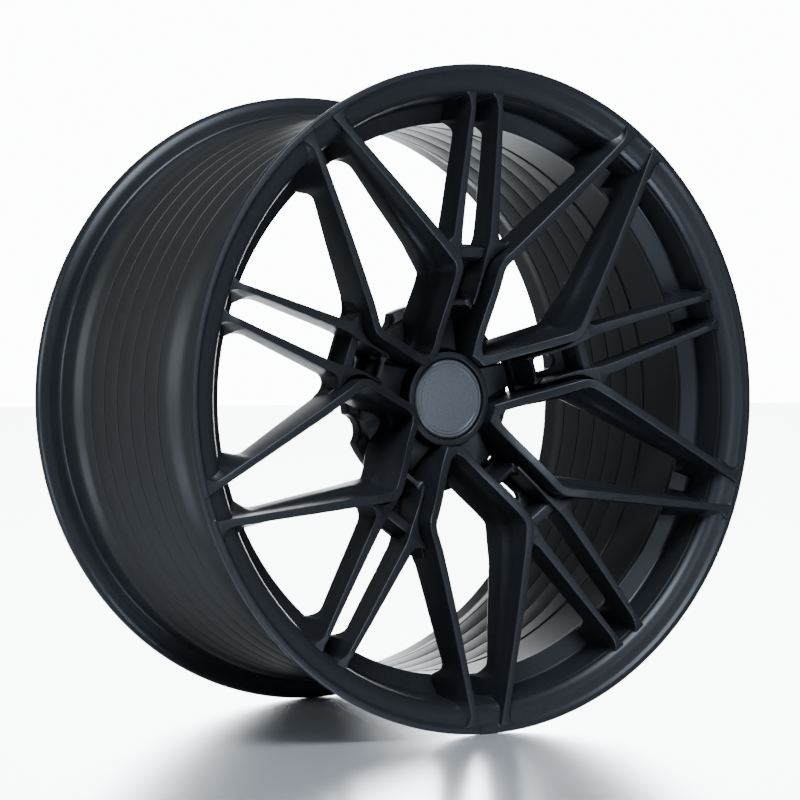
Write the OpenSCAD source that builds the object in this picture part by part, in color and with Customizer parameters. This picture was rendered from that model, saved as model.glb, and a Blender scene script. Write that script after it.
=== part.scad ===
// Forged racing wheel rim, 20 x 10.5 J, five pockets of two wide ribs and two thin spokes.
// Lathe sections are lists of [radius, depth], where depth is measured behind the front
// plane of the rim. The rim is drawn with its face up and laid on edge at the very end,
// so that its axis is Y and its face looks along -Y.

/* [Rim] */
// Outer diameter of both flanges
flange_d = 544; // [510:1:655]
// Overall width over the flanges
rim_w = 292; // [240:1:355]
// Height of a flange above its bead seat
flange_h = 18; // [16:0.5:20]
// Drop from the bead seat to the tyre side of the well
well_drop = 19.5; // [17:0.5:21]
// Wall of the barrel
barrel_wall = 5; // [4:0.5:7]

/* [Face] */
// Distance between the two inner rib lines of one pocket
rib_pair = 40.8; // [38:0.2:44]
// Width of the front of a wide rib
rib_w = 7; // [5:0.5:9]
// Radius at which the wide ribs turn outward
elbow_r = 110; // [104:1:118]
// Angle through which a wide rib turns at its elbow
elbow_turn = 47.9; // [46:0.1:49]
// Extra width of the back of a wide rib, on its window side
rib_back = 6; // [3:0.5:8]
// Distance between the two thin spokes of a pocket, at the rim
thin_pair = 26.6; // [24:0.2:30]
// Width of a thin spoke at the rim
thin_w = 4.8; // [4:0.2:7]

/* [Hub] */
// Diameter of the centre bore at the mounting face
bore_d = 72.6; // [57:0.1:76]
// Depth of the centre bore
bore_len = 12; // [8:1:16]
// Outer diameter of the ring around the centre cap
ring_d = 79; // [76:1:82]
// Diameter of the mounting pad at the back
pad_d = 160; // [145:1:165]
// Metal between the lug pads and the mounting face
hub_t = 35; // [28:1:46]

/* [Centre cap] */
// Diameter of the cap's face
cap_d = 65.6; // [60:0.2:66]
// Diameter of the plain bore that the cap's legs spring against
cap_bore_d = 61; // [54:0.2:62]
// Gap between the cap's face and the ring, all round
cap_gap = 1.2; // [0.6:0.1:2]
// Radial gap between the cap's legs and their bore
leg_gap = 0.05; // [0.02:0.01:0.2]
// How far the cap is pushed in
cap_depth = 20; // [17:1:24]

/* [Valve] */
// Diameter of the valve hole
valve_hole_d = 11.5; // [11.3:0.1:12]
// Angle of the valve around the rim, from the right-hand side
valve_angle = -81; // [-81.5:0.1:-80]
// Diameter of the stem
stem_d = 7.7; // [7.5:0.1:8]
// Travel of the valve pin
pin_travel = 1.2; // [0.8:0.1:1.5]
// Radial running gap of the valve pin
pin_gap = 0.08; // [0.04:0.01:0.1]

/* [Hidden] */
$fn = 96;
pockets = 5;
pitch = 360 / pockets;
half = pitch / 2;
paint = [0.13, 0.15, 0.18];
paint_deep = [0.09, 0.10, 0.12];
cap_black = [0.16, 0.18, 0.21];
steel = [0.62, 0.64, 0.66];
brass = [0.72, 0.58, 0.30];
rubber = [0.05, 0.05, 0.05];
black_alloy = [0.10, 0.10, 0.11];

// Centre cap
face_depth = 61.8;
plate_r = 30;
plate_t = 1.4;
ring_groove = 76;
ring_wire_r = 0.9;

// Main radii
flange_r = flange_d / 2;
seat_r = flange_r - flange_h;
well_r = seat_r - well_drop;
well_in_r = well_r - barrel_wall;
ring_r = ring_d / 2;
cap_r = cap_d / 2;
cap_bore_r = cap_bore_d / 2;
bore_r = bore_d / 2;
pad_r = pad_d / 2;

// Depths behind the front plane
ring_top = 61.5;
lug_top = 70.8;
floor_top = 84;
flange_top = 92;
mount_face = lug_top + hub_t;
seat_depth = ring_top + 5;
disc_r = pad_r - 8;
relief_depth = 1;
relief_w = 18;

// The turned lip: bead of the panel, its shoulder, the wall below it and the ledge
panel_r = flange_r - 7.3;
wall_r = flange_r - 25;
ledge_r = flange_r - 29;
land_r = flange_r - 44.5;
face_r = flange_r - 4.7;
panel_top = 2.4;
wall_top = 13.4;
ledge_top = 37;
ledge_end = 42;
well_front = 54;
hump_end = 43;

// Places in one pocket, whose axis is +Y: x across, y outward
rib_x = rib_pair / 2;
rib_half = rib_w / 2;
elbow_rc = 16;
elbow_y = elbow_r - elbow_rc * tan(elbow_turn / 2);
node_fillet = 9;
rail_x = 13;
rail_in = 10.3;
rail_start = 71;
bridge_y = [75.5, 80];
bridge_top = 47.5;
cross_y = [117, 128.5];
cross_top = 28;
web_start = 74;
hole_y = [94.6, 101.4];
thin_base_y = 132;
thin_base_x = 17.8;
thin_base_w = 8.8;
thin_end_y = flange_r - 35;
outer_len = flange_r;
bend_steps = 6;
bend_centre = [rib_x + elbow_rc, elbow_y];

// Lathe sections [radius, depth] of the face
crest = [[30, 55.4], [42, 51.2], [50, 47.4], [66, 37.9], [88, 24], [102, 15.8], [114, 10.8],
    [130, 7.6], [156, 4.8], [184, 2.9], [flange_r - 32, 0.6], [flange_r - 17, 0], [flange_r, 0]];
ledge_line = [[30, 66], [50, 62], [63, 59.6], [82, 51.6], [112, 41], [138, 29], [181, 23],
    [flange_r - 44, 16], [flange_r, 12]];
back_line = [[30, floor_top + 3], [74, floor_top + 3], [84, 80], [98, 68], [111, 59], [138, 46.5],
    [160, 42], [181, 38.4], [205, 33.5], [flange_r - 50, 31],
    [land_r + 0.6, ledge_end + 2], [flange_r, ledge_end + 2]];
thin_line = [[30, 62], [rail_start, 47], [85, 38], [100, 29.7], [108, 26.5], [thin_base_y, 20.8],
    [thin_end_y, 4.1], [flange_r - 15, 10], [flange_r, 14]];
web_line = [[30, 76], [84, 72], [98, 60], [111, 51], [140, 39]];

// Valve, along its own axis: z = 0 where the axis crosses the front slope of the well,
// which it stands square to, and z grows towards the outside
hump_r = seat_r - 5;
slope_r = (hump_r + well_r) / 2;
slope_depth = (hump_end + well_front) / 2;
valve_tilt = atan((well_front - hump_end) / (hump_r - well_r));
inner_spot = 1.2;
clamped = 6.5;
outer_spot = inner_spot + clamped;
spot_r = 8.2;
washer_r = 7.2;
washer_t = 1.5;
nut_t = 4.5;
nut_r = 6.9;
head_r = 7.8;
head_t = 3;
seal_t = 2.5;
collar_len = 3.5;
stem_r = stem_d / 2;
stem_top = 28;
core_r = 2.4;
core_len = 16;
core_bottom = stem_top - 0.5 - core_len;
chamber_r = 1.6;
chamber_from = core_bottom + 3;
chamber_to = chamber_from + 7.8 + pin_travel;
pin_r = 0.6;
pin_top = stem_top - 0.6;
collar_t = 0.6;
plug_r = 1.7;
plug_t = 1.4;
spring_turns = 8;
wire_r = 0.17;
spring_r = 1.15;
dust_r = 5.4;
dust_from = outer_spot + washer_t + nut_t + 1;
dust_to = stem_top + 3;
dust_gap = 0.06;
ring_seal_t = 1.2;
touch = 0.03;

// ---- shared geometry ---------------------------------------------------------------

// A lathe solid between two sections of [radius, depth], the second one deeper
module turned(top, bottom) {
    rotate_extrude()
        polygon(concat([for (p = top) [p[0], rim_w / 2 - p[1]]],
            [for (i = [len(bottom) - 1:-1:0]) [bottom[i][0], rim_w / 2 - bottom[i][1]]]));
}

// A lathe solid from one closed section of [radius, depth]
module lathe(section) {
    rotate_extrude() polygon([for (p = section) [p[0], rim_w / 2 - p[1]]]);
}

// A prism over a plan outline, between two depths
module prism(from, to) {
    translate([0, 0, rim_w / 2 - to]) linear_extrude(to - from) children();
}

// Puts what is drawn in one pocket's frame at pocket i
module at_pocket(i) {
    rotate(-pitch * i) children();
}

// Lays the finished wheel on edge, face towards -Y
module stand() {
    rotate([90, 0, 0]) children();
}

// ---- plan outlines of one pocket ----------------------------------------------------

// Points round a wide rib's elbow, at a distance off its centreline towards the window
function bend(off) = [for (i = [0:bend_steps]) let (a = elbow_turn * i / bend_steps)
    bend_centre + (elbow_rc - off) * [-cos(a), sin(a)]];

// A point on a wide rib's outer run, a length past its elbow
function on_run(off, len) = bend_centre + (elbow_rc - off) * [-cos(elbow_turn), sin(elbow_turn)]
    + len * [sin(elbow_turn), cos(elbow_turn)];

function reversed(list) = [for (i = [len(list) - 1:-1:0]) list[i]];

// Wide rib on the right of the pocket: from the node line beside the pocket's axis, round
// the elbow and out to the rim, with the round bottom of the V that it shares
module rib_plan(inside, outside, outside_end) {
    edge = rib_x + outside;
    v_centre = [edge + node_fillet, (edge + node_fillet) / tan(half)];
    polygon(concat([[rib_x - inside, (rib_x - inside) / tan(half)]], bend(-inside),
        [on_run(-inside, outer_len), on_run(outside_end, outer_len),
            on_run(outside_end, outer_len * 0.55)],
        reversed(bend(outside)),
        [for (a = [0:(90 - half) / 4:90 - half]) v_centre - node_fillet * [cos(a), sin(a)]]));
}

// All that lies beyond the pocket side of the right-hand wide rib
module beyond_rib() {
    polygon(concat([[rib_x - rib_half, 0]], bend(-rib_half),
        [on_run(-rib_half, outer_len), [2 * flange_r, 0]]));
}

// Thin spoke on the right of the pocket, with the rail that carries it down to the bridge
module thin_plan() {
    slope = (thin_base_x - thin_pair / 2) / (thin_end_y - thin_base_y);
    end_x = thin_pair / 2 - slope * 30;
    polygon([[rail_in, rail_start], [rail_x, rail_start], [rail_x, 100], [rail_x + 0.6, 106],
        [16, 113], [21, 119.5], [30.5, 123.5], [33.5, 126.2], [27, 127.5],
        [thin_base_x + thin_base_w / 2 + 1.3, 130],
        [thin_base_x + thin_base_w / 2, thin_base_y + 2], [thin_pair / 2 + thin_w / 2, thin_end_y],
        [end_x + thin_w / 2, thin_end_y + 30], [end_x - thin_w / 2, thin_end_y + 30],
        [thin_pair / 2 - thin_w / 2, thin_end_y], [thin_base_x - thin_base_w / 2, thin_base_y],
        [rail_in, 108]]);
}

// ---- the forging ----------------------------------------------------------------------

// The turned inner side of the lip, from its front edge in to the barrel's inner wall
lip = [[face_r, 0], [panel_r, panel_top], [flange_r - 16, 4], [flange_r - 21, 6.5],
    [flange_r - 23.7, 10], [wall_r, wall_top], [ledge_r, ledge_top], [land_r, ledge_end]];

// Between the rib tips of neighbouring pockets the raised front edge is milled away
module lip_relief() {
    for (i = [0:pockets - 1]) rotate(half - pitch * i)
        prism(-1, relief_depth) translate([-relief_w / 2, face_r])
            square([relief_w, flange_r - 1.5 - face_r]);
}

// All that the barrel keeps for itself, for trimming ribs and spokes
module barrel_side() {
    lathe(concat([[flange_r + 30, -1], [face_r, -1]], lip,
        [[land_r, 120], [flange_r + 30, 120]]));
}

module barrel() {
    well_back = rim_w - 47;
    tyre_side = [[flange_r - 1, 0], [flange_r, 1.5], [flange_r, 6.5], [flange_r - 2.5, 10],
        [flange_r - 8, 12.4], [seat_r + 1.5, 13], [seat_r, 14.5], [seat_r - 1.6, 32],
        [seat_r - 0.4, 35], [seat_r - 1.2, 39], [hump_r, hump_end], [well_r, well_front],
        [well_r, 92], [well_r + 6, 104], [seat_r - 5, well_back], [seat_r - 0.8, rim_w - 40],
        [seat_r - 0.4, rim_w - 35], [seat_r - 1.6, rim_w - 32], [seat_r, rim_w - 14.5],
        [seat_r + 1.5, rim_w - 13], [flange_r - 8, rim_w - 12.4], [flange_r - 2.5, rim_w - 10],
        [flange_r, rim_w - 6.5], [flange_r, rim_w - 1.5], [flange_r - 1, rim_w]];
    inner_side = [[flange_r - 6, rim_w], [flange_r - 14, rim_w - 5],
        [seat_r - barrel_wall, rim_w - 14], [seat_r - barrel_wall, rim_w - 33],
        [seat_r - 5 - barrel_wall, well_back], [well_r + 6 - barrel_wall, 106], [well_in_r, 94],
        [well_in_r, ledge_end + 7], [land_r, ledge_end + 4.5]];
    color(paint_deep) stand() difference() {
        lathe(concat(tyre_side, inner_side, [for (i = [len(lip) - 1:-1:0]) lip[i]]));
        lip_relief();
        at_valve() {
            rod(valve_hole_d / 2, -20, 40);
            rod(spot_r, outer_spot, 40);
            rod(spot_r, -20, inner_spot);
        }
    }
}

// A lug pad: flat, blank, narrower outwards, with round corners
module lug_plan() {
    polygon([[-15.6, 34], [15.6, 34], [10.1, 66.1], [7.2, 68.5], [-7.2, 68.5], [-10.1, 66.1]]);
    for (s = [-1, 1]) translate([s * 7.2, 65.5]) circle(3);
}

// The hub's disc and mounting flange
module hub_disc() {
    lathe([[0, floor_top], [disc_r, floor_top], [disc_r, flange_top - 2], [pad_r, flange_top + 2],
        [pad_r, mount_face - 1], [pad_r - 1, mount_face], [0, mount_face]]);
}

// All that the hub keeps for itself, for trimming ribs, rails and webs
module hub_side() {
    lathe([[0, -1], [ring_r, -1], [ring_r, floor_top + 1], [0, floor_top + 1]]);
    hub_disc();
    for (i = [0:pockets - 1]) at_pocket(i) prism(lug_top, floor_top + 1) lug_plan();
}

module hub() {
    recess_r = cap_r + cap_gap;
    color(paint) stand() difference() {
        union() {
            lathe([[0, ring_top], [ring_r - 0.6, ring_top], [ring_r, ring_top + 0.6],
                [ring_r, floor_top + 1], [0, floor_top + 1]]);
            hub_disc();
            for (i = [0:pockets - 1]) at_pocket(i) prism(lug_top, floor_top + 1) lug_plan();
        }
        prism(ring_top - 1, seat_depth) circle(recess_r);
        prism(seat_depth - 1, mount_face - bore_len) circle(cap_bore_r);
        prism(mount_face - bore_len, mount_face + 1) circle(bore_r);
        lathe([[bore_r - 1, mount_face + 1], [bore_r - 1, mount_face - 1], [bore_r, mount_face - 1],
            [bore_r + 2, mount_face + 1]]);
        for (i = [0:pockets - 1]) rotate(half - pitch * i) translate([0, pad_r + 7])
            prism(floor_top - 1, mount_face + 1) circle(pad_r + 7 - disc_r);
    }
}

module wide_rib(n) {
    color(paint) stand() at_pocket(floor((n - 1) / 2)) mirror([n % 2, 0, 0]) difference() {
        union() {
            intersection() {
                prism(-1, 100) rib_plan(rib_half, rib_half, rib_half);
                turned(crest, back_line);
            }
            intersection() {
                prism(-1, 100) rib_plan(rib_half - 0.5, rib_half + rib_back, rib_half - 0.3);
                turned(ledge_line, back_line);
            }
        }
        barrel_side();
        hub_side();
    }
}

module thin_spoke(n) {
    color(paint) stand() at_pocket(floor((n - 1) / 2)) mirror([n % 2, 0, 0]) difference() {
        union() {
            intersection() {
                prism(-1, 100) intersection() {
                    thin_plan();
                    translate([0, cross_y[1]]) square([100, flange_r]);
                }
                turned(thin_line, back_line);
            }
            intersection() {
                prism(-1, 100) intersection() {
                    thin_plan();
                    square([100, cross_y[1] + 0.5]);
                }
                turned(thin_line, web_line);
            }
        }
        prism(-2, 101) beyond_rib();
        barrel_side();
    }
}

// The drop-shaped hole through the web at the bottom of a pocket
module drop_plan() {
    hole_r = 6.6;
    for (y = hole_y) translate([0, y]) circle(hole_r);
    translate([-hole_r, hole_y[0]]) square([2 * hole_r, hole_y[1] - hole_y[0]]);
}

module pocket_web(n) {
    bar = 2 * rail_x - 2;
    color(paint_deep) stand() at_pocket(n - 1) difference() {
        union() {
            intersection() {
                prism(0, 100) translate([-50, web_start]) square([100, cross_y[1] - web_start]);
                turned(web_line, back_line);
            }
            prism(cross_top, 53) translate([-50, cross_y[0]]) square([100, cross_y[1] - cross_y[0]]);
            prism(bridge_top, 76) translate([-bar / 2, bridge_y[0]]) square([bar, bridge_y[1] - bridge_y[0]]);
        }
        for (s = [0, 1]) mirror([s, 0, 0]) {
            prism(-2, 101) beyond_rib();
            intersection() {
                prism(-1, 100) thin_plan();
                turned([[30, 0], [140, 0]], web_line);
            }
        }
        prism(30, 120) drop_plan();
        hub_side();
    }
}

// ---- centre cap -----------------------------------------------------------------------

// The cap's moulding: a face with a seat for the plate, and a skirt split into legs
module cap_shell() {
    leg_r = cap_bore_r - leg_gap;
    leg_end = ring_top + cap_depth;
    color(cap_black) stand() difference() {
        lathe([[0, face_depth], [cap_r - 1, face_depth], [cap_r, face_depth + 1],
            [cap_r, seat_depth - 0.1], [leg_r, seat_depth - 0.1], [leg_r, leg_end - 1.5],
            [leg_r - 1, leg_end], [leg_r - 2.4, leg_end], [leg_r - 2.4, ring_groove + 2],
            [leg_r - 1.2, ring_groove + 1.2], [leg_r - 1.2, ring_groove - 1.2],
            [leg_r - 2.4, ring_groove - 2], [leg_r - 2.4, face_depth + 3], [0, face_depth + 3]]);
        prism(face_depth - 1, face_depth + plate_t) circle(plate_r + touch);
        for (a = [0:45:135]) rotate(a) prism(seat_depth + 3, leg_end + 1)
            translate([-cap_r, -1.5]) square([2 * cap_r, 3]);
    }
}

// The plate let into the cap's face, plain but for one turned line
module cap_plate() {
    color(cap_black) stand() lathe([[0, face_depth - 0.3], [plate_r - 3, face_depth - 0.1],
        [plate_r - 2.6, face_depth + 0.3], [plate_r - 2.2, face_depth - 0.1],
        [plate_r - 0.4, face_depth], [plate_r, face_depth + 0.4], [plate_r, face_depth + plate_t],
        [0, face_depth + plate_t]]);
}

// The wire that spreads the legs, lying in their groove
module cap_spring_ring() {
    color(steel) stand() translate([0, 0, rim_w / 2 - ring_groove]) rotate_extrude()
        translate([cap_bore_r - leg_gap - 1.2 - ring_wire_r - touch, 0]) circle(ring_wire_r);
}

// ---- valve ----------------------------------------------------------------------------

// Stands what is drawn on the front slope of the well, along the valve's own axis
module at_valve() {
    rotate(valve_angle) translate([slope_r, 0, rim_w / 2 - slope_depth])
        rotate([0, -valve_tilt, 0]) children();
}

module rod(r, from, to) {
    translate([0, 0, from]) cylinder(r = r, h = to - from);
}

module tube(r, bore, from, to) {
    difference() {
        rod(r, from, to);
        rod(bore, from - 1, to + 1);
    }
}

module valve_stem() {
    head_from = inner_spot - seal_t - head_t;
    color(black_alloy) stand() at_valve() difference() {
        union() {
            rod(head_r, head_from, inner_spot - seal_t);
            rod(stem_r, head_from, stem_top);
        }
        rod(core_r, core_bottom, stem_top + 1);
        rod(core_r - 0.3, head_from - 1, core_bottom + 1);
    }
}

module valve_seal() {
    color(rubber) stand() at_valve() difference() {
        union() {
            rod(head_r - 0.3, inner_spot - seal_t, inner_spot);
            rod(valve_hole_d / 2, inner_spot - 0.5, inner_spot + collar_len);
        }
        rod(stem_r, -20, 20);
    }
}

module valve_washer() {
    color(steel) stand() at_valve() tube(washer_r, stem_r, outer_spot, outer_spot + washer_t);
}

module valve_nut() {
    from = outer_spot + washer_t;
    color(black_alloy) stand() at_valve() difference() {
        intersection() {
            translate([0, 0, from]) cylinder(r = nut_r, h = nut_t, $fn = 6);
            translate([0, 0, from]) rotate_extrude()
                polygon([[0, 0], [nut_r, 0], [nut_r, nut_t - 1], [nut_r - 1.6, nut_t], [0, nut_t]]);
        }
        rod(stem_r, from - 1, from + nut_t + 1);
    }
}

// The core: a brass tube with a spring chamber, and guides for the pin at both ends
module valve_core() {
    color(brass) stand() at_valve() difference() {
        rod(core_r, core_bottom, core_bottom + core_len);
        rod(pin_r + pin_gap, core_bottom - 1, core_bottom + core_len + 1);
        rod(chamber_r, chamber_from, chamber_to);
    }
}

module valve_pin() {
    color(brass) stand() at_valve() {
        rod(pin_r, core_bottom - plug_t, pin_top);
        rod(spring_r + wire_r, chamber_to - collar_t - touch, chamber_to - touch);
    }
}

module valve_pin_seal() {
    color(rubber) stand() at_valve() tube(plug_r, pin_r, core_bottom - plug_t, core_bottom - touch);
}

// Coil of a round wire, closed by flat rings of its own at the ends
module valve_spring() {
    from = chamber_from + wire_r + touch;
    to = chamber_to - collar_t - wire_r - 2 * touch;
    steps = 14;
    sides = 6;
    count = spring_turns * steps;
    function around(a, r, z) = [r * cos(a), r * sin(a), z];
    points = [for (i = [0:count], j = [0:sides - 1])
        around(360 * i / steps, spring_r + wire_r * cos(360 * j / sides),
            from + (to - from) * i / count + wire_r * sin(360 * j / sides))];
    skin = [for (i = [0:count - 1], j = [0:sides - 1])
        [i * sides + j, i * sides + (j + 1) % sides, (i + 1) * sides + (j + 1) % sides,
            (i + 1) * sides + j]];
    ends = [[for (j = [sides - 1:-1:0]) j], [for (j = [0:sides - 1]) count * sides + j]];
    color(steel) stand() at_valve() polyhedron(points, concat(skin, ends));
}

module dust_cap() {
    color(black_alloy) stand() at_valve() difference() {
        union() {
            rod(dust_r, dust_from, dust_to - 1);
            rod(dust_r - 0.8, dust_from, dust_to);
        }
        rod(stem_r + dust_gap, dust_from - 1, stem_top + 0.1 + ring_seal_t);
        for (a = [0:30:330]) rotate(a) translate([dust_r + 0.35, 0, 0]) rod(0.8, dust_from - 1, dust_to - 2);
    }
}

module dust_cap_seal() {
    color(rubber) stand() at_valve()
        tube(stem_r, core_r, stem_top + 0.1, stem_top + 0.1 + ring_seal_t);
}

barrel();
hub();
for (n = [1:10]) wide_rib(n);
for (n = [1:10]) thin_spoke(n);
for (n = [1:5]) pocket_web(n);
cap_shell();
cap_plate();
cap_spring_ring();
valve_stem();
valve_seal();
valve_washer();
valve_nut();
valve_core();
valve_pin();
valve_pin_seal();
valve_spring();
dust_cap();
dust_cap_seal();
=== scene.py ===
from math import atan, cos, pi, radians, sin, tan

import bmesh
import bpy
import numpy as np
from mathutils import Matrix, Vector


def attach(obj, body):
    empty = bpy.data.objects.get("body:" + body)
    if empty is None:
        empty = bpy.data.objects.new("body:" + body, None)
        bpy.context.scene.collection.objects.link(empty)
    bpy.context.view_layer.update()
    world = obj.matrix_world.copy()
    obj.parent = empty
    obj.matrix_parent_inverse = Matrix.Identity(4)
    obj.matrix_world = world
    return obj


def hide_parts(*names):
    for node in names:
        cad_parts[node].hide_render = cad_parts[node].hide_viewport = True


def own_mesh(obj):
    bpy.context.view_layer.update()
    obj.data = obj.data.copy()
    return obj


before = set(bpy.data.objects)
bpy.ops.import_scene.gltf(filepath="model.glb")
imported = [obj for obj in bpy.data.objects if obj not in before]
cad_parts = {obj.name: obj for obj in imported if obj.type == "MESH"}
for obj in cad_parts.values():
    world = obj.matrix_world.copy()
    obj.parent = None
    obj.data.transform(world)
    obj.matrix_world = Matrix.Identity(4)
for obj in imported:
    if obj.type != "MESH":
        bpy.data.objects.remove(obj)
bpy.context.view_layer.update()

# ---- Camera ---------------------------------------------------------------------------
# The wheel is seen from its left, at the height of its axis, with a long lens.
camera_data = bpy.data.cameras.new("studio_camera")
camera_data.sensor_width = 36.0
camera_data.lens = 115.2
camera_data.clip_end = 50.0
camera = bpy.data.objects.new("studio_camera", camera_data)
line_of_sight = Vector((0.52843, 0.84896, -0.0058))
camera.location = (-1.1611, -1.8722, 0.0116)
camera.rotation_mode = "QUATERNION"
camera.rotation_quaternion = line_of_sight.to_track_quat("-Z", "Y")
bpy.context.scene.collection.objects.link(camera)
bpy.context.scene.camera = camera

# ---- Barrel ---------------------------------------------------------------------------
# The turned outer part of the forging: two flanges, two bead seats with their humps, and
# the well between them. It is lathe-turned from one section, with fine grooves inside and
# out, and it carries the satin coat of the whole forging.
half_width = 146.0
flange_r = 272.0
seat_r = 254.0
pockets = 5
pitch = 2 * pi / pockets


def satin_coat(name, tone, rough, flake=0.35):
    """Dark metallic coat: a blue-black base, fine flakes that tilt the surface a little,
    and a slow cloud in its gloss, all on Object coordinates."""
    material = bpy.data.materials.new(name)
    material.use_nodes = True
    nodes, links = material.node_tree.nodes, material.node_tree.links
    shader = nodes["Principled BSDF"]
    shader.inputs["Metallic"].default_value = 0.55
    shader.inputs["Specular IOR Level"].default_value = 0.38
    place = nodes.new("ShaderNodeTexCoord")
    flakes = nodes.new("ShaderNodeTexVoronoi")
    flakes.inputs["Scale"].default_value = 1400.0
    cloud = nodes.new("ShaderNodeTexNoise")
    cloud.inputs["Scale"].default_value = 26.0
    cloud.inputs["Detail"].default_value = 4.0
    grain = nodes.new("ShaderNodeTexNoise")
    grain.inputs["Scale"].default_value = 900.0
    grain.inputs["Detail"].default_value = 2.0
    for texture in (flakes, cloud, grain):
        links.new(place.outputs["Object"], texture.inputs["Vector"])
    colour = nodes.new("ShaderNodeMix")
    colour.data_type = "RGBA"
    colour.inputs["A"].default_value = (*[0.82 * c for c in tone], 1.0)
    colour.inputs["B"].default_value = (*[1.25 * c for c in tone], 1.0)
    links.new(flakes.outputs["Color"], colour.inputs["Factor"])
    links.new(colour.outputs["Result"], shader.inputs["Base Color"])
    gloss = nodes.new("ShaderNodeMapRange")
    gloss.inputs["To Min"].default_value = rough - 0.04
    gloss.inputs["To Max"].default_value = rough + 0.05
    links.new(cloud.outputs["Fac"], gloss.inputs["Value"])
    links.new(gloss.outputs["Result"], shader.inputs["Roughness"])
    bump = nodes.new("ShaderNodeBump")
    bump.inputs["Strength"].default_value = flake
    bump.inputs["Distance"].default_value = 0.00006
    links.new(grain.outputs["Fac"], bump.inputs["Height"])
    links.new(bump.outputs["Normal"], shader.inputs["Normal"])
    return material


coat = satin_coat("satin_coat", (0.0125, 0.0145, 0.0178), 0.38)
barrel_coat = satin_coat("barrel_coat", (0.0155, 0.0165, 0.0175), 0.48)


def fillet(points, radii, steps=4):
    """Rounds the corners of a closed outline: each corner becomes a parabola that leaves
    one side and joins the next at the corner's radius, or at 0.45 of a shorter side.
    points is (..., corners, 2) and radii is one value a corner."""
    points = np.asarray(points, float)
    back = np.roll(points, 1, axis=-2) - points
    on = np.roll(points, -1, axis=-2) - points
    back_len = np.linalg.norm(back, axis=-1, keepdims=True)
    on_len = np.linalg.norm(on, axis=-1, keepdims=True)
    cut = np.asarray(radii, float)[:, None]
    start = points + back / np.maximum(back_len, 1e-9) * np.minimum(cut, 0.45 * back_len)
    end = points + on / np.maximum(on_len, 1e-9) * np.minimum(cut, 0.45 * on_len)
    t = np.linspace(0, 1, steps + 1)[:, None]
    curve = ((1 - t) ** 2 * start[..., None, :] + 2 * t * (1 - t) * points[..., None, :]
        + t**2 * end[..., None, :])
    return curve.reshape(*points.shape[:-2], -1, 2)


def skin(name, grid, material, around=True, along=False, ends=True, crease=32):
    """A mesh over a grid of points in millimetres (along, around, xyz): around closes each
    row on itself, along joins the last row to the first, ends closes the two end rows."""
    rows, cols = grid.shape[:2]
    i = np.arange(rows if along else rows - 1)[:, None]
    j = np.arange(cols if around else cols - 1)[None, :]
    a, b = i * cols + j, i * cols + (j + 1) % cols
    c, d = (i + 1) % rows * cols + (j + 1) % cols, (i + 1) % rows * cols + j
    faces = np.stack([a, b, c, d], axis=-1).reshape(-1, 4).tolist()
    if ends and not along:
        faces.append(list(range(cols))[::-1])
        faces.append([(rows - 1) * cols + k for k in range(cols)])
    mesh = bpy.data.meshes.new(name)
    mesh.from_pydata((grid.reshape(-1, 3) / 1000.0).tolist(), [], faces)
    return finished(name, mesh, material, crease)


def finished(name, mesh, material, crease=32):
    """Links a mesh as an object at the origin, outward faces, smooth but for its edges."""
    work = bmesh.new()
    work.from_mesh(mesh)
    bmesh.ops.remove_doubles(work, verts=work.verts, dist=1e-6)
    bmesh.ops.recalc_face_normals(work, faces=work.faces)
    work.to_mesh(mesh)
    work.free()
    mesh.polygons.foreach_set("use_smooth", np.ones(len(mesh.polygons), bool))
    mesh.set_sharp_from_angle(angle=radians(crease))
    mesh.materials.append(material)
    piece = bpy.data.objects.new(name, mesh)
    bpy.context.scene.collection.objects.link(piece)
    return piece


def stand_up(x, y, depth):
    """Face-up place (x, y, depth behind the front plane) to the wheel standing on edge."""
    return np.stack(np.broadcast_arrays(x, depth - half_width, y), axis=-1)


def turned(name, section, material, angles, crease=32):
    """Lathe piece: a closed section of (radius, depth) carried round the axis."""
    section = np.asarray(section)
    angles = np.asarray(angles)[:, None]
    grid = stand_up(section[:, 0] * np.cos(angles), section[:, 0] * np.sin(angles), section[:, 1])
    return skin(name, grid, material, along=True, crease=crease)


def groove(radius, depth, width=1.6, deep=0.9, outward=1):
    """Four corners of a shallow turned groove in a wall that runs along the axis."""
    cut = radius + outward * deep
    return [(radius, depth - width / 2, 0.2), (cut, depth - width / 4, 0.3),
        (cut, depth + width / 4, 0.3), (radius, depth + width / 2, 0.2)]


width = 2 * half_width
outer_wall = [(flange_r, 0, 1.4), (flange_r, 6.5, 2.0), (269.5, 10, 2.0), (264, 12.4, 2.0),
    (255.5, 13.0, 1.8), (seat_r, 15.5, 1.2), (252.4, 32, 1.5), (253.6, 35.5, 1.5),
    (252.8, 39.5, 2), (249, 43.5, 3), (234.6, 54, 4), (234.6, 92, 5), (240.6, 104, 5)]
for k in range(6):
    outer_depth = 118 + 22.5 * k
    outer_r = 241.2 + 0.052 * (outer_depth - 104)
    outer_wall += groove(outer_r, outer_depth, outward=-1)
outer_wall += [(249, 245, 3), (253.2, 252, 2), (253.6, 257, 1.5), (252.4, 260, 1.5),
    (seat_r, width - 15.5, 1.2), (255.5, width - 13, 1.8), (264, width - 12.4, 2),
    (269.5, width - 10, 2), (flange_r, width - 6.5, 2), (flange_r, width, 1.4)]
inner_wall = [(266, width, 1.2), (258, width - 5, 3), (249, width - 14, 3),
    (248.6, width - 33, 2), (244, width - 47, 3)]
for inner_depth in (236, 210, 184, 158, 132):
    inner_wall += groove(235.6 + 0.052 * (inner_depth - 106), inner_depth)[::-1]
inner_wall += [(235.6, 106, 4), (231.5, 101, 2)]
inner_wall += groove(229.5, 97, 5.0, 1.2)[::-1]
inner_wall += [(229.5, 49, 1.5), (227.5, 46.5, 1)]
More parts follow.
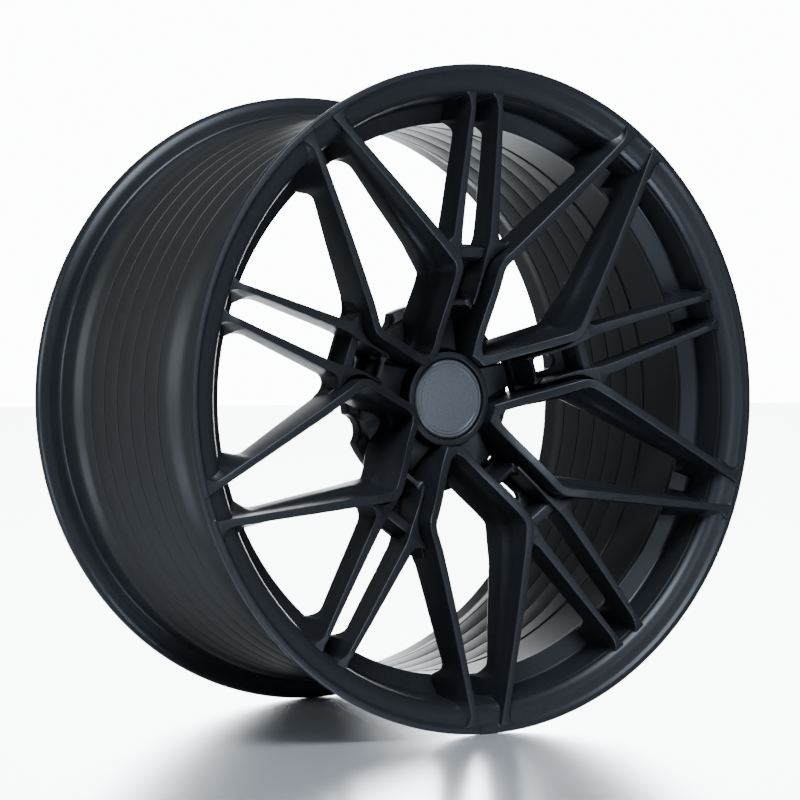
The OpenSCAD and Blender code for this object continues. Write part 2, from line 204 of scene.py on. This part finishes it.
lip_wall = [(227.5, 42, 1.0), (243, 37, 2.2), (247, 13.4, 0.5), (247.8, 12.2, 0.5),
    (248.3, 10, 1.2), (251, 6.5, 2.5), (256, 4, 3.0), (264.4, 2.7, 0.8), (267.3, 0, 0.5)]
corners = np.array(outer_wall + inner_wall + lip_wall)
section = fillet(corners[:, :2], corners[:, 2], steps=3)

# Between the rib tips of neighbouring pockets the raised front edge is milled down 1 mm.
relief_half = 9.0 / flange_r
edge_angles = np.array([-1.12, -1.0, -0.97, 0.97, 1.0, 1.12]) * relief_half
node_angles = pi / 2 + pitch * (np.arange(pockets) + 0.5)
angles = np.sort(np.concatenate([np.arange(340) * 2 * pi / 340,
    (node_angles[:, None] + edge_angles).ravel() % (2 * pi)]))
away = np.abs((angles[:, None] - node_angles + pi) % (2 * pi) - pi).min(axis=1)
milled = np.clip((1.06 - away / relief_half) / 0.09, 0, 1)[:, None]
low = np.where(section[:, 0] > 266.5, np.maximum(section[:, 1], 1.0), section[:, 1])
near_front = (section[:, 1] < 1.0) & (section[:, 0] > 266.5) & (section[:, 0] < 270.8)
depths = section[:, 1] + milled * np.where(near_front, low - section[:, 1], 0)
grid = stand_up(section[:, 0] * np.cos(angles[:, None]), section[:, 0] * np.sin(angles[:, None]),
    depths)
barrel = skin("turned_barrel", grid, barrel_coat, along=True)
barrel.data.materials.append(coat)
centres = np.zeros(3 * len(barrel.data.polygons))
barrel.data.polygons.foreach_get("center", centres)
face_depth = centres[1::3] * 1000 + half_width
on_flange = (face_depth < 46) | (face_depth > 262)
barrel.data.polygons.foreach_set("material_index", np.where(on_flange, 1, 0))

# ---- Wide ribs ------------------------------------------------------------------------
# Ten bent ribs, two to a pocket. Each is milled from the forging: a narrow flat front with
# crisp edges, a nearly upright wall to the pocket, and a wall to the window that widens
# to a ledge. They start in Vs around the hub, turn at an elbow and run to the flange.
rib_x = 20.4
elbow_turn = radians(47.9)
elbow_rc = 16.0
elbow_y = 110 - elbow_rc * tan(elbow_turn / 2)
half_pitch = pitch / 2
v_fillet = 9.0


def eased(knots, spread):
    """Depth as a function of radius: straight between knots, its corners eased over a
    spread, by averaging nine neighbours."""
    knots = np.array(knots, float)
    steps = np.linspace(-spread, spread, 9)

    def depth(r):
        r = np.asarray(r, float)
        return np.interp(r[..., None] + steps, knots[:, 0], knots[:, 1]).mean(axis=-1)
    return depth


crest = eased([(20, 56), (39, 52.4), (45.4, 49.3), (54.3, 45.1), (63.6, 39.6), (73, 33.5),
    (82.6, 27.2), (92.3, 21.3), (102, 16), (111.8, 11.8), (128.3, 7.7), (156, 4.9),
    (182, 2.9), (238.7, 0.2), (262, 0.05), (300, 0.05)], 3.0)
back = eased([(20, 86), (76, 86), (84, 80), (98, 68), (111, 59), (138, 46.5), (160, 42),
    (181, 38.4), (205, 33.5), (218, 31), (222, 33), (228, 44), (300, 44)], 2.5)


def inside_rim(r, depth):
    """Depth held back to just under the turned inside of the lip, where a spoke's end is
    buried in the barrel."""
    return np.minimum(depth, np.interp(r,
        [226, 228.3, 243, 244, 245, 246, 247, 248, 250, 252, 256, 264, 300],
        [99, 43.5, 39, 33.5, 27.5, 21.5, 16, 13, 10, 8.2, 6.5, 6, 6]))


# How far the rib's walls stand off its centreline, by length past the elbow.
past = [-75, -30, 0, 29, 49, 79, 129, 150, 175]
front_half = [3.5, 3.5, 3.5, 3.5, 3.45, 3.35, 3.1, 3.0, 2.9]
ledge_off = [6.5, 7.6, 8.9, 11.4, 10.6, 8.2, 5.4, 4.2, 3.9]
ledge_drop = [27, 28, 29, 23, 21.5, 20, 15.5, 14, 12]
back_off = [9.5, 12.0, 14.3, 13.2, 12.0, 10.4, 7.0, 5.6, 5.2]


def rib_point(s, off, drop, deep):
    """A corner of the rib's section at length s past the elbow's middle, off the centreline
    towards the window. drop is below the crest; deep mixes it towards the back surface."""
    arc = elbow_rc * elbow_turn
    start = -arc / 2
    inner_y = elbow_y + np.minimum(s - start, 0)
    turn = np.clip((s - start) / elbow_rc, 0, elbow_turn)
    run = np.maximum(s - start - arc, 0)
    edge = rib_x + off
    centre_x = edge + v_fillet
    centre_y = centre_x / tan(half_pitch)
    in_v = np.sqrt(np.maximum(v_fillet**2 - (inner_y - centre_y) ** 2, 0))
    apex_y = centre_y - v_fillet * cos(half_pitch)
    v_edge = np.where(inner_y > centre_y, edge, centre_x - in_v)
    v_edge = np.where(inner_y > apex_y, v_edge, inner_y * tan(half_pitch))
    side_x = np.where(off > 0, v_edge, edge)
    hub_y = np.sqrt(np.maximum(39.7**2 - side_x**2, 0)) - 39.7 * cos(half_pitch)
    pull = np.clip((52 - inner_y) / (52 - 32.1), 0, 1)
    reach = elbow_rc - off
    x = np.where(s < start, side_x,
        rib_x + elbow_rc - reach * np.cos(turn) + run * sin(elbow_turn))
    y = np.where(s < start, inner_y + hub_y * pull,
        elbow_y + reach * np.sin(turn) + run * cos(elbow_turn))
    r = np.hypot(x, y)
    depth = (1 - deep) * (crest(r) + drop) + deep * back(r)
    return x, y, depth


def wide_rib(name, pocket, side):
    """The rib's section, seven corners, carried from the hub ring past the elbow to the
    flange, with the corners rounded and the tip flared into the flange."""
    inner = np.array([32.1, 32.35, 32.9, *np.linspace(34, elbow_y, 46)])
    inner = inner - elbow_y - elbow_rc * elbow_turn / 2
    bent = np.linspace(-0.5, 0.5, 14)[1:] * elbow_rc * elbow_turn
    outer = np.concatenate([np.linspace(0, 158, 56)[1:], np.linspace(158, 170.5, 16)[1:]])
    s = np.concatenate([inner, bent, outer + elbow_rc * elbow_turn / 2])
    tip = np.clip((s - 154.0) / 13.0, 0, 0.999)
    flare = 13.0 * (1 - np.sqrt(1 - tip**2))

    def swell(start):
        root = np.clip((s - start) / 8.0, 0, 0.999)
        return 7.5 * (1 - np.sqrt(1 - root**2))

    half = np.interp(s, past, front_half)
    ledge = np.interp(s, past, ledge_off)
    drop = np.interp(s, past, ledge_drop)
    wide = np.interp(s, past, back_off) + swell(124.5)
    hub_end = np.interp(s, inner[:3], [0.9, 0.25, 0.0])
    zero = np.zeros_like(s)
    one = np.ones_like(s)
    corners = [
        (-half - flare, hub_end, zero), (half, hub_end, zero),
        (0.35 * ledge + 0.65 * half, 0.72 * drop, zero), (ledge, drop, zero),
        (0.5 * (ledge + wide), 0.5 * drop, 0.55 * one), (wide, zero, one),
        (-half - 0.6 - swell(117.0), zero, one)]
    ring = np.stack([np.stack(rib_point(s, *corner), axis=-1) for corner in corners], axis=1)
    depth = ring[..., 2]
    # rounding works in the section's own plane: share across the section, and depth
    across = np.stack([np.broadcast_to(corner[0], s.shape) for corner in corners], axis=1)
    flat = np.stack([across, depth], axis=-1)
    radii = [1.1, 1.1, 5.0, 2.2, 8.0, 3.0, 3.0]
    rounded = fillet(flat, radii, steps=4)
    share = rounded[..., 0]
    x, y, _ = rib_point(s[:, None], share, 0.0, 0.0)
    within = np.minimum(1.0, 267.0 / np.hypot(x, y))
    turn = -pitch * pocket
    x, y = (-x if side else x) * within, y * within
    depth = inside_rim(np.hypot(x, y), rounded[..., 1])
    grid = stand_up(x * cos(turn) - y * sin(turn), x * sin(turn) + y * cos(turn), depth)
    return skin(name, grid, coat, crease=40)


ribs = []
for number in range(1, 11):
    rib = wide_rib(f"milled_wide_rib_{number}", (number - 1) // 2, number % 2)
    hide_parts(f"wide_rib_{number}")
    ribs.append(rib)

# ---- Thin spokes ----------------------------------------------------------------------
# Ten thin spokes, two to a pocket. Each starts as a rail beside the deep pocket, spreads
# in a Y to the wide rib, and runs out to die into the rounded panel behind the flange.
spoke_crest = eased([(60, 53), (71, 47), (85, 38), (100, 29.7), (108, 26.5), (132, 20.8),
    (237, 4.1), (246, 5.6), (257, 10), (300, 14)], 2.0)
floor_front = eased([(30, 78), (84, 74), (98, 62), (111, 53), (140, 41)], 2.0)
spoke_y = [70.6, 100, 106, 110, 113, 116, 119.5, 122, 124, 126.5, 128.3, 130, 132, 136, 170,
    212, 237, 262]
spoke_right = [13, 13, 13.6, 14.6, 16, 18, 21, 25, 30, 33, 27.5, 24.8, 23.2, 22, 19.9,
    17.4, 15.7, 14.9]
spoke_left = [10.3, 10.3, 10.35, 10.6, 10.9, 11.25, 11.7, 12.0, 12.3, 12.6, 12.9, 13.1, 13.4,
    13.5, 12.9, 11.8, 10.9, 10.3]


def thin_spoke(name, pocket, side):
    """A section of six corners between a left and a right edge, carried outwards."""
    y = np.concatenate([[78.6, 78.9, 79.5], np.linspace(80.5, 104, 20), np.linspace(105, 140, 71),
        np.linspace(142, 216, 38), np.linspace(217, 262, 40)])
    right = np.interp(y, spoke_y, spoke_right)
    left = np.interp(y, spoke_y, spoke_left)
    rim = np.clip((y - 238) / 9.5, 0, 0.999)
    shallow = 2.6 * (1 - np.sqrt(1 - rim**2))
    rim = np.clip((y - 218) / 10, 0, 0.999)
    deep = 6.5 * (1 - np.sqrt(1 - rim**2))
    start = np.interp(y, [78.6, 78.9, 79.5], [0.8, 0.2, 0.0])
    behind = np.interp(y, [116, 130], [0, 1])
    middle = 0.5 * (left + right)
    top = spoke_crest(np.hypot(middle, y)) + start
    bottom = ((1 - behind) * (floor_front(np.hypot(middle, y)) + 1.0)
        + behind * (back(np.hypot(middle, y)) - 0.3))
    shoulder = 0.55 * top + 0.45 * bottom
    flat = np.stack([
        np.stack([left - shallow, top], axis=-1), np.stack([right + shallow, top], axis=-1),
        np.stack([right + 0.4 + shallow + 0.25 * deep, shoulder], axis=-1),
        np.stack([right + 0.9 + deep, bottom], axis=-1),
        np.stack([left - 0.7 * behind - deep, bottom], axis=-1),
        np.stack([left - 0.3 * behind - shallow - 0.25 * deep, shoulder], axis=-1)], axis=1)
    rounded = fillet(flat, [0.9, 0.9, 3.0, 2.0, 2.0, 3.0], steps=4)
    x = -rounded[..., 0] if side else rounded[..., 0]
    turn = -pitch * pocket
    y = y[:, None]
    depth = inside_rim(np.hypot(x, y), rounded[..., 1])
    grid = stand_up(x * cos(turn) - y * sin(turn), x * sin(turn) + y * cos(turn), depth)
    return skin(name, grid, coat, crease=40)


spokes = []
for number in range(1, 11):
    spoke = thin_spoke(f"milled_thin_spoke_{number}", (number - 1) // 2, number % 2)
    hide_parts(f"thin_spoke_{number}")
    spokes.append(spoke)

for piece in ribs + spokes:
    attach(piece, "root")
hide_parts("barrel")
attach(barrel, "root")

# ---- Pocket webs ------------------------------------------------------------------------
# Between the two wide ribs of a pocket the forging is pocketed deeply. A bridge bar joins
# the rails at the hub's end, a cross-web closes the outer end, and the floor between them
# is pierced by a drop-shaped hole. All are milled from the solid, with round corners.


def at_pocket(x, y, depth, pocket):
    """A place in pocket coordinates, turned to that pocket and stood up."""
    turn = -pitch * pocket
    return stand_up(x * cos(turn) - y * sin(turn), x * sin(turn) + y * cos(turn), depth)


def corner_swell(x, reach, radius):
    """How far an edge swings round a corner of that radius as x nears reach."""
    near = np.clip((np.abs(x) - (reach - radius)) / radius, 0, 0.999)
    return radius * (1 - np.sqrt(1 - near**2))


def bridge_bar(name, pocket):
    """A bar along x between the rails, its edges swelling into them at both ends."""
    x = np.linspace(-11.3, 11.3, 45)
    swell = corner_swell(x, 10.3, 4.5)
    one = np.ones_like(x)
    flat = np.stack([
        np.stack([78.0 * one - 0.7 * swell, 46.2 - 0.2 * swell], axis=-1),
        np.stack([81.8 * one + swell, 47.4 - 0.9 * swell], axis=-1),
        np.stack([83.8 * one + swell, 52.0 * one], axis=-1),
        np.stack([84.2 * one + swell, 77.0 * one], axis=-1),
        np.stack([77.0 * one - 0.7 * swell, 77.0 * one], axis=-1)], axis=1)
    rounded = fillet(flat, [0.8, 1.0, 3.0, 0.3, 0.3], steps=4)
    return skin(name, at_pocket(x[:, None], rounded[..., 0], rounded[..., 1], pocket), coat)


def cross_web(name, pocket):
    """A wall from rib to rib: a flat top, a bevel to the pocket, a sloping outer side."""
    share = np.linspace(-1, 1, 81)
    corners = [(114.4, 66.0), (114.6, 33.0), (116.8, 28.6), (124.4, 27.6), (127.6, 44.0),
        (128.6, 52.5)]
    flat = []
    for y, depth in corners:
        reach = 25.67 + (y - 114.77) * 1.107
        swell = corner_swell(share * reach, reach - 5.5, 7.0) if y > 120 else 0 * share
        x = share * (reach + swell * 1.107)
        level = np.minimum(depth, back(np.hypot(x, y + swell)) - 0.7)
        flat.append(np.stack([y + swell, level, x], axis=-1))
    flat = np.stack(flat, axis=1)
    rounded = fillet(flat[..., :2], [0.3, 2.0, 1.0, 1.2, 4.0, 1.0], steps=4)
    x = np.repeat(flat[..., 2], 5, axis=1)
    return skin(name, at_pocket(x, rounded[..., 0], rounded[..., 1], pocket), coat)


def pocket_floor(name, pocket):
    """The floor: rings between its outline and a drop-shaped hole, front and back."""
    angle = np.linspace(0, 2 * pi, 96, endpoint=False)
    hole_x, hole_y = 6.6 * np.cos(angle), 98 + 3.4 * np.sign(np.sin(angle)) + 6.6 * np.sin(angle)
    reach = np.minimum(1 / np.maximum(np.abs(np.cos(angle)) / 21.5, 1e-6), 40)
    up = np.where(np.sin(angle) > 0, 30.5, 24.0)
    reach = np.minimum(reach, up / np.maximum(np.abs(np.sin(angle)), 1e-6))
    rim_x, rim_y = reach * np.cos(angle), 98 + reach * np.sin(angle)
    rim_x = rim_x * np.where(rim_y > 110, 1 + (rim_y - 110) * 0.045, 1)
    rows = []
    for mix, lift, rear in ((1, 0, 0), (0.5, 0, 0), (0.06, 0, 0), (0.015, 0.25, 0), (0, 0.9, 0),
            (0, -0.9, 1), (0.015, -0.25, 1), (0.06, 0, 1), (0.5, 0, 1), (1, 0, 1)):
        x, y = hole_x + mix * (rim_x - hole_x), hole_y + mix * (rim_y - hole_y)
        r = np.hypot(x, y)
        rows.append(at_pocket(x, y, (back(r) - 0.4 if rear else floor_front(r)) + lift, pocket))
    return skin(name, np.stack(rows), coat, along=True)


for pocket in range(pockets):
    web = bridge_bar(f"bridge_bar_{pocket + 1}", pocket)
    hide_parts(f"pocket_web_{pocket + 1}")
    for piece in (web, cross_web(f"cross_web_{pocket + 1}", pocket),
            pocket_floor(f"pocket_floor_{pocket + 1}", pocket)):
        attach(piece, "root")

# ---- Hub ----------------------------------------------------------------------------------
# The middle of the forging: a turned ring round the cap, five flat lug pads that are left
# undrilled, and a disc behind them with the scalloped face that bolts to the car.
full_turn = np.linspace(0, 2 * pi, 240, endpoint=False)


def section_of(corners, steps=4):
    """Rounds a list of (radius, depth, corner radius)."""
    corners = np.array(corners, float)
    return fillet(corners[:, :2], corners[:, 2], steps)


hub_ring = turned("hub_ring", section_of([(34.0, 62.6, 0.2), (34.7, 61.5, 0.3),
    (39.5, 61.5, 0.9), (39.5, 88, 0.2), (30.5, 88, 0.2), (30.5, 66.5, 0.3), (34.0, 66.5, 0.2)]),
    coat, full_turn)
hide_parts("hub")

mount_depth = 105.8
turn = np.linspace(0, 2 * pi, 900, endpoint=False)[:, None]
levels = section_of([(72, 84, 0.4), (72, 90, 1.5), (80, 94, 1.5), (80, mount_depth, 1.0),
    (78, mount_depth, 0), (69, mount_depth, 0), (38, mount_depth, 0), (36.3, mount_depth, 1.0),
    (36.3, 93.8, 0.3), (30.5, 93.8, 0.3), (30.5, 84, 0.2)])
from_node = (turn - pi / 2) % pitch - pitch / 2
inside = np.maximum(15.0**2 - (87.0 * np.sin(from_node)) ** 2, 0)
scallop = np.where(inside > 0, 87.0 * np.cos(from_node) - np.sqrt(inside), 200.0)
edge = np.minimum(levels[:, 0], np.maximum(scallop - (80 - levels[:, 0]).clip(0, 1.0), 71.0))
radius = np.where(levels[:, 0] > 60, edge, levels[:, 0])
hub_disc = skin("mounting_disc", stand_up(radius * np.cos(turn), radius * np.sin(turn),
    levels[:, 1] + 0 * turn), coat, along=True)


def lug_pad(name, pocket):
    """A flat pad: one outline stepped down with less and less inset, to round its edge."""
    bow = np.linspace(-21.5, 21.5, 13) * pi / 180
    near_end = [(41.2 * sin(a), 41.2 * cos(a)) for a in bow]
    outline = fillet(near_end + [(10.2, 68.5), (-10.2, 68.5)], [0.5] * 13 + [3, 3], 4)
    rows = []
    for inset, depth in ((1.9, 70.8), (1.5, 70.95), (0.15, 72.3), (0.0, 72.8), (-0.6, 86.0)):
        x = outline[:, 0] * (1 - inset / 14.0)
        y = 55 + (outline[:, 1] - 55) * (1 - inset / 13.0)
        rows.append(at_pocket(x, y, depth + 0 * x, pocket))
    return skin(name, np.stack(rows), coat)


for piece in [hub_ring, hub_disc] + [lug_pad(f"lug_pad_{n + 1}", n) for n in range(pockets)]:
    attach(piece, "root")

# ---- Centre cap -----------------------------------------------------------------------------
# A moulding that snaps into the hub's bore: a stepped face, eight sprung legs with a wire
# ring behind them, and a plain plate let into the face inside one turned line.
cap_coat = satin_coat("cap_coat", (0.072, 0.080, 0.092), 0.42, 0.45)
cap_face = turned("cap_moulding", section_of([(0, 63.3, 0), (30.1, 63.3, 0.1), (30.1, 61.7, 0.3),
    (31.4, 61.6, 0.5), (32.8, 63.0, 0.5), (32.8, 66.4, 0.3), (30.45, 66.4, 0.1),
    (30.45, 67.4, 0.1), (28.0, 67.4, 0.3), (27.0, 65.6, 0.5), (0, 65.6, 0)]), cap_coat, full_turn)
leg = section_of([(30.45, 66.9, 0), (30.45, 80.3, 0.4), (29.4, 81.8, 0.4), (28.0, 81.8, 0.3),
    (28.0, 78.4, 0.3), (29.2, 77.3, 0.3), (29.2, 74.7, 0.3), (28.0, 73.6, 0.3), (28.0, 66.9, 0)])
legs = []
for number in range(8):
    sweep = np.linspace(radians(3), radians(42), 14)[:, None] + number * pi / 4
    legs.append(skin(f"cap_leg_{number + 1}", stand_up(leg[:, 0] * np.cos(sweep),
        leg[:, 0] * np.sin(sweep), leg[:, 1]), cap_coat))
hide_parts("cap_shell")
plate = turned("cap_plate_face", section_of([(0, 61.45, 0), (26.9, 61.6, 0.4), (27.2, 62.05, 0.2),
    (27.6, 61.65, 0.2), (29.6, 61.75, 0.3), (30.0, 62.2, 0.1), (30.0, 63.2, 0.1), (0, 63.2, 0)]),
    cap_coat, full_turn)
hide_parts("cap_plate")
for piece in [cap_face, plate] + legs:
    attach(piece, "cap")

# ---- Valve ----------------------------------------------------------------------------------
# A clamp-in metal valve through the front slope of the well: stem, seal, washer, nut, core,
# spring, pin and dust cap, each with a coat of its own: turned alloy, brass or rubber.


def turned_metal(name, tone, rough, fine=2600.0):
    """Metal with the fine turned lines and slow stains of a small lathe part."""
    material = bpy.data.materials.new(name)
    material.use_nodes = True
    nodes, links = material.node_tree.nodes, material.node_tree.links
    shader = nodes["Principled BSDF"]
    shader.inputs["Metallic"].default_value = 1.0
    place = nodes.new("ShaderNodeTexCoord")
    lines = nodes.new("ShaderNodeTexNoise")
    lines.inputs["Scale"].default_value = fine
    lines.inputs["Detail"].default_value = 1.0
    stain = nodes.new("ShaderNodeTexNoise")
    stain.inputs["Scale"].default_value = 180.0
    stain.inputs["Detail"].default_value = 5.0
    for texture in (lines, stain):
        links.new(place.outputs["Object"], texture.inputs["Vector"])
    colour = nodes.new("ShaderNodeMix")
    colour.data_type = "RGBA"
    colour.inputs["A"].default_value = (*[0.8 * c for c in tone], 1.0)
    colour.inputs["B"].default_value = (*tone, 1.0)
    links.new(stain.outputs["Fac"], colour.inputs["Factor"])
    links.new(colour.outputs["Result"], shader.inputs["Base Color"])
    gloss = nodes.new("ShaderNodeMapRange")
    gloss.inputs["To Min"].default_value = rough - 0.07
    gloss.inputs["To Max"].default_value = rough + 0.07
    links.new(stain.outputs["Fac"], gloss.inputs["Value"])
    links.new(gloss.outputs["Result"], shader.inputs["Roughness"])
    bump = nodes.new("ShaderNodeBump")
    bump.inputs["Strength"].default_value = 0.25
    bump.inputs["Distance"].default_value = 0.00003
    links.new(lines.outputs["Fac"], bump.inputs["Height"])
    links.new(bump.outputs["Normal"], shader.inputs["Normal"])
    return material


def moulded_rubber(name):
    """Black rubber with a dull, dusty bloom."""
    material = bpy.data.materials.new(name)
    material.use_nodes = True
    nodes, links = material.node_tree.nodes, material.node_tree.links
    shader = nodes["Principled BSDF"]
    place = nodes.new("ShaderNodeTexCoord")
    bloom = nodes.new("ShaderNodeTexNoise")
    bloom.inputs["Scale"].default_value = 320.0
    bloom.inputs["Detail"].default_value = 6.0
    links.new(place.outputs["Object"], bloom.inputs["Vector"])
    colour = nodes.new("ShaderNodeMix")
    colour.data_type = "RGBA"
    colour.inputs["A"].default_value = (0.012, 0.012, 0.012, 1.0)
    colour.inputs["B"].default_value = (0.035, 0.034, 0.033, 1.0)
    links.new(bloom.outputs["Fac"], colour.inputs["Factor"])
    links.new(colour.outputs["Result"], shader.inputs["Base Color"])
    gloss = nodes.new("ShaderNodeMapRange")
    gloss.inputs["To Min"].default_value = 0.55
    gloss.inputs["To Max"].default_value = 0.8
    links.new(bloom.outputs["Fac"], gloss.inputs["Value"])
    links.new(gloss.outputs["Result"], shader.inputs["Roughness"])
    return material


valve_angle = radians(-81)
well_slope = atan((54 - 43) / (249 - 234.5))
slope_r, slope_depth = (249 + 234.5) / 2, (43 + 54) / 2
outward = Vector((-sin(well_slope) * cos(valve_angle), -cos(well_slope),
    -sin(well_slope) * sin(valve_angle)))
valve_foot = Vector((slope_r * cos(valve_angle), slope_depth - half_width,
    slope_r * sin(valve_angle)))


def cutter(name, radius, start, end):
    """A plain rod along the valve's axis, between two distances from the well's slope."""
    side = outward.orthogonal().normalized()
    up = outward.cross(side)
    ring = np.linspace(0, 2 * pi, 48, endpoint=False)[:, None]
    disc = radius * (np.cos(ring) * np.array(side) + np.sin(ring) * np.array(up))
    middle, reach = np.array(valve_foot), np.array(outward)
    rod = skin(name, np.stack([disc + middle + reach * start, disc + middle + reach * end]),
        barrel_coat)
    rod.hide_render = True
    rod.hide_viewport = True
    return rod


for name, radius, start, end in (("valve_hole", 5.75, -14, 14), ("front_spot_face", 8.2, 7.7, 30),
        ("tyre_spot_face", 8.2, -14, 1.2)):
    cut = barrel.modifiers.new(name, "BOOLEAN")
    cut.operation = "DIFFERENCE"
    cut.solver = "EXACT"
    cut.object = cutter(name, radius, start, end)
alloy = turned_metal("black_alloy", (0.055, 0.058, 0.064), 0.38)
brass = turned_metal("valve_brass", (0.60, 0.43, 0.20), 0.30)
spring_steel = turned_metal("spring_steel", (0.52, 0.53, 0.55), 0.30)
rubber = moulded_rubber("valve_rubber")
coats = {"valve_stem": (alloy, "valve_alloy"), "valve_washer": (alloy, "valve_alloy"),
    "valve_nut": (alloy, "valve_alloy"), "dust_cap": (alloy, "valve_alloy"),
    "valve_core": (brass, "valve_brass"), "valve_pin": (brass, "valve_brass"),
    "valve_seal": (rubber, "valve_rubber"), "valve_pin_seal": (rubber, "valve_rubber"),
    "dust_cap_seal": (rubber, "valve_rubber"), "valve_spring": (spring_steel, "spring_steel"),
    "cap_spring_ring": (spring_steel, "spring_steel")}
for node, (metal, slot) in coats.items():
    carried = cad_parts[node]
    for place in carried.material_slots:
        place.link = "OBJECT"
        place.material = metal

# The coil round the pin, wound as a fixed helix of eight turns between two distances along the
# valve's axis.
side = np.array(outward.orthogonal().normalized())
ahead = np.array(outward)
up = np.cross(ahead, side)
turns = 8
wind = np.linspace(0, 2 * pi * turns, 32 * turns + 1)[:, None, None]
wire = np.linspace(0, 2 * pi, 12, endpoint=False)[None, :, None]
spring_from, spring_to, coil_r, wire_r = 14.7, 22.67, 1.15, 0.17
along = spring_from + (spring_to - spring_from) * wind / (2 * pi * turns) + wire_r * np.sin(wire)
spring = skin("core_spring", np.array(valve_foot) + ahead * along
    + (coil_r + wire_r * np.cos(wire)) * (np.cos(wind) * side + np.sin(wind) * up), spring_steel)
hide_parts("valve_spring")
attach(spring, "root")
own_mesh(spring)

# ---- Studio -----------------------------------------------------------------------------
# A pale polished floor before a bright white backdrop, in an otherwise dim room, with long
# soft lights overhead and to the left that draw the bluish highlights on the coat.
floor_mesh = bpy.data.meshes.new("floor")
reach = 30.0
floor_z = -0.272
floor_mesh.from_pydata([(-reach, -reach, floor_z), (reach, -reach, floor_z),
    (reach, reach, floor_z), (-reach, reach, floor_z)], [], [(0, 1, 2, 3)])
floor = bpy.data.objects.new("floor", floor_mesh)
bpy.context.scene.collection.objects.link(floor)
floor_paint = bpy.data.materials.new("floor_paint")
floor_paint.use_nodes = True
paint = floor_paint.node_tree.nodes["Principled BSDF"]
paint.inputs["Base Color"].default_value = (0.93, 0.96, 1.0, 1)
paint.inputs["Metallic"].default_value = 0.75
paint.inputs["Roughness"].default_value = 0.22
floor_mesh.materials.append(floor_paint)

room = bpy.data.worlds.new("room")
bpy.context.scene.world = room
room.use_nodes = True
nodes, links = room.node_tree.nodes, room.node_tree.links
direction = nodes.new("ShaderNodeTexCoord")
facing = nodes.new("ShaderNodeVectorMath")
facing.operation = "DOT_PRODUCT"
facing.inputs[1].default_value = line_of_sight
lit = nodes.new("ShaderNodeMapRange")
lit.interpolation_type = "SMOOTHSTEP"
lit.inputs["From Min"].default_value = 0.90
lit.inputs["From Max"].default_value = 0.974
lit.inputs["To Min"].default_value = 0.24
lit.inputs["To Max"].default_value = 14.0
links.new(direction.outputs["Generated"], facing.inputs[0])
links.new(facing.outputs["Value"], lit.inputs["Value"])
links.new(lit.outputs["Result"], nodes["Background"].inputs["Strength"])
nodes["Background"].inputs["Color"].default_value = (0.95, 0.98, 1.0, 1)


def softbox(name, place, target, size, power, tint=(0.86, 0.93, 1.0)):
    """A square area light that faces a target."""
    data = bpy.data.lights.new(name, "AREA")
    data.shape = "SQUARE"
    data.size = size
    data.energy = power
    data.color = tint
    light = bpy.data.objects.new(name, data)
    light.location = place
    light.rotation_mode = "QUATERNION"
    light.rotation_quaternion = (Vector(target) - Vector(place)).to_track_quat("-Z", "Y")
    bpy.context.scene.collection.objects.link(light)
    return light


softbox("overhead", (-0.5, -1.3, 2.0), (0, 0, 0), 1.2, 130)
softbox("left_fill", (-2.6, 0.5, 0.6), (0, 0, 0), 1.0, 48)
softbox("front_fill", (0.5, -2.6, 0.5), (0, 0, 0), 0.9, 16)
